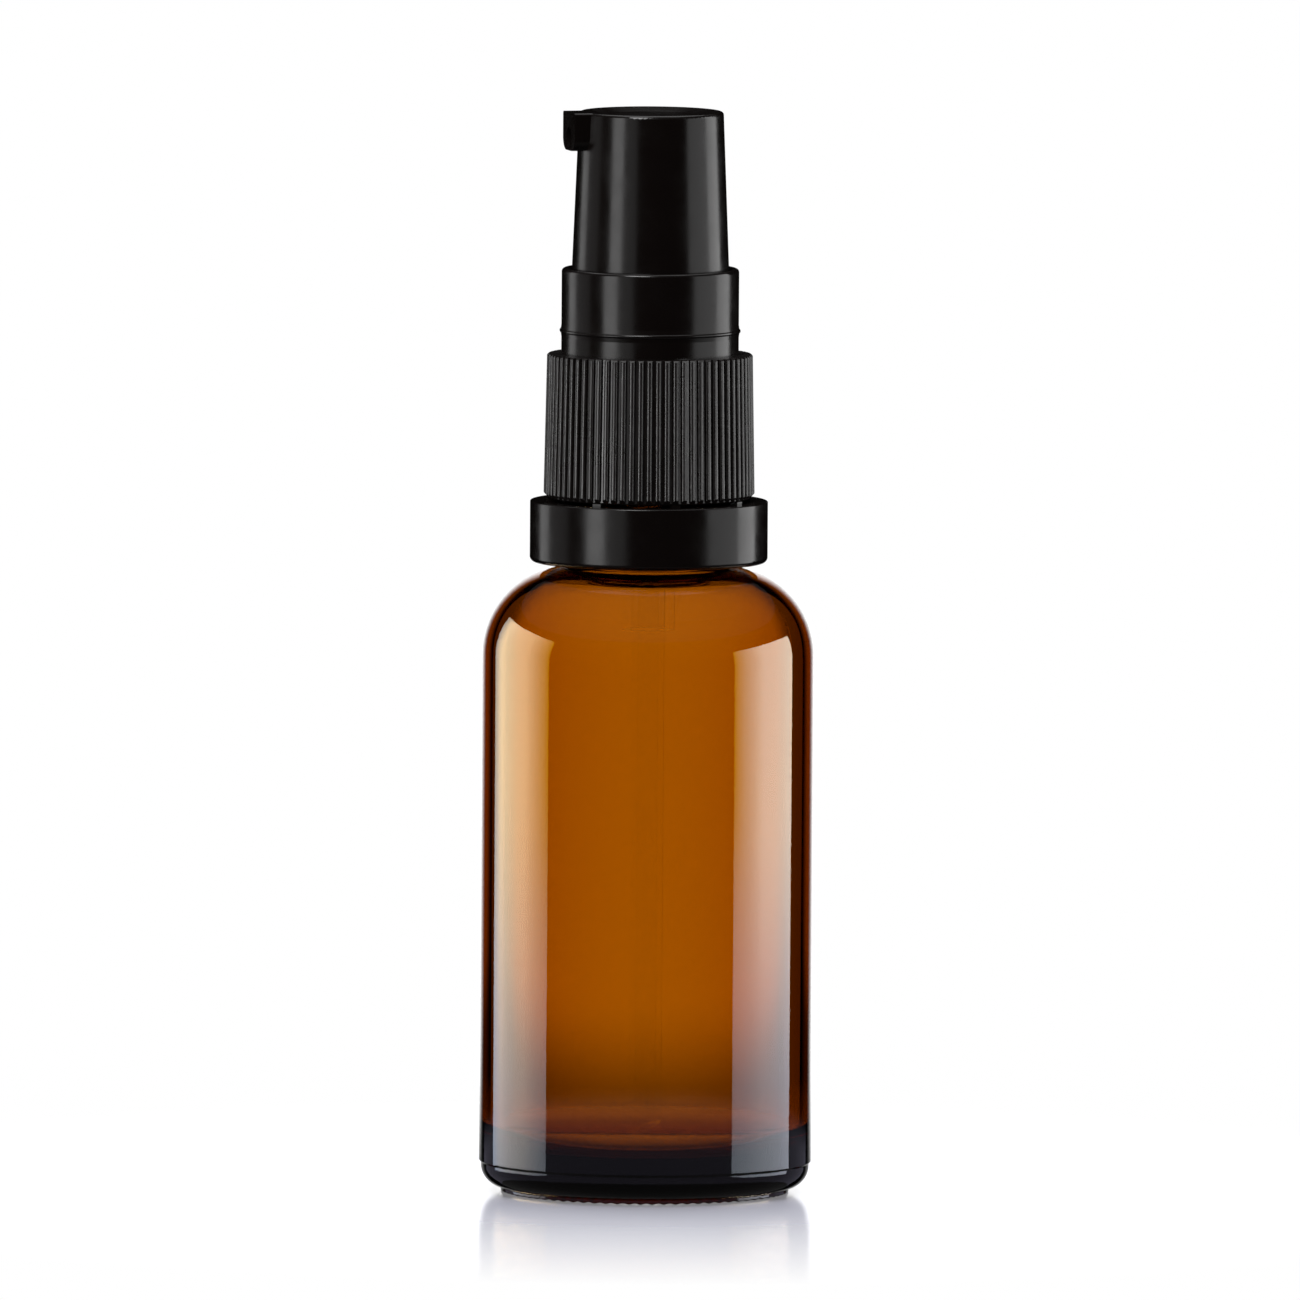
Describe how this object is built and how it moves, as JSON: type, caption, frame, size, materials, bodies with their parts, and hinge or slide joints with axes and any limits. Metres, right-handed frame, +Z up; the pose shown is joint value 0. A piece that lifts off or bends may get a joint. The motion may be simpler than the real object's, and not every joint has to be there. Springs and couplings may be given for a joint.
{
  "type": "pump oil bottle",
  "caption": "Small round amber glass bottle with a screw-on lotion pump: ribbed cap over a tamper ring, smooth collar, and a pressed, swivelling actuator with a short side spout.",
  "frame": {"origin": "middle of the bottle's foot, on the surface it stands on", "axes": "+Z up along the bottle's axis, the spout along -X at rest"},
  "size_m": [0.033, 0.033, 0.1075],
  "materials": {
    "amber_glass": "smooth amber glass",
    "black_gloss": "smooth moulded black",
    "black_ribbed": "ribbed moulded black",
    "natural_plastic": "natural translucent moulding",
    "soft_natural": "soft natural moulding",
    "foam_white": "foamed sheet",
    "steel": "drawn wire and ground ball"
  },
  "bodies": {
    "glass": {"bottle": "amber_glass", "tamper_ring": "black_gloss"},
    "pump": {"pump_housing": "natural_plastic", "chaplet": "natural_plastic", "gasket": "foam_white", "dip_tube": "natural_plastic", "return_spring": "steel"},
    "closure": {"screw_cap": "black_ribbed", "collar": "black_gloss"},
    "plunger": {"stem": "natural_plastic", "piston_rod": "natural_plastic"},
    "button": {"actuator": "black_gloss"},
    "seal": {"piston": "soft_natural"},
    "valve_ball": {"inlet_ball": "steel"}
  },
  "joints": [
    {"name": "pump_rise", "type": "slide", "parent": "glass", "child": "pump", "axis": [0, 0, 1], "range_m": [0, 0.0045]},
    {"name": "cap_turn", "type": "hinge", "parent": "pump", "child": "closure", "pos_m": [0, 0, 0.0764], "axis": [0, 0, 1], "range_deg": [0, 541]},
    {"name": "press", "type": "slide", "parent": "pump", "child": "plunger", "axis": [0, 0, -1], "range_m": [0, 0.0045], "stiffness_N_per_m": 900, "springref_m": -0.0045, "deforming": ["return_spring"]},
    {"name": "swivel", "type": "hinge", "parent": "plunger", "child": "button", "pos_m": [0, 0, 0.095], "axis": [0, 0, 1], "continuous": true},
    {"name": "piston_float", "type": "slide", "parent": "plunger", "child": "seal", "axis": [0, 0, 1], "range_m": [0, 0.0006]},
    {"name": "ball_lift", "type": "slide", "parent": "pump", "child": "valve_ball", "axis": [0, 0, 1], "range_m": [0, 0.0008]}
  ],
  "couplings": [
    {"joint": "cap_turn", "follows": "pump_rise", "rad_per_m": 2094.4}
  ]
}
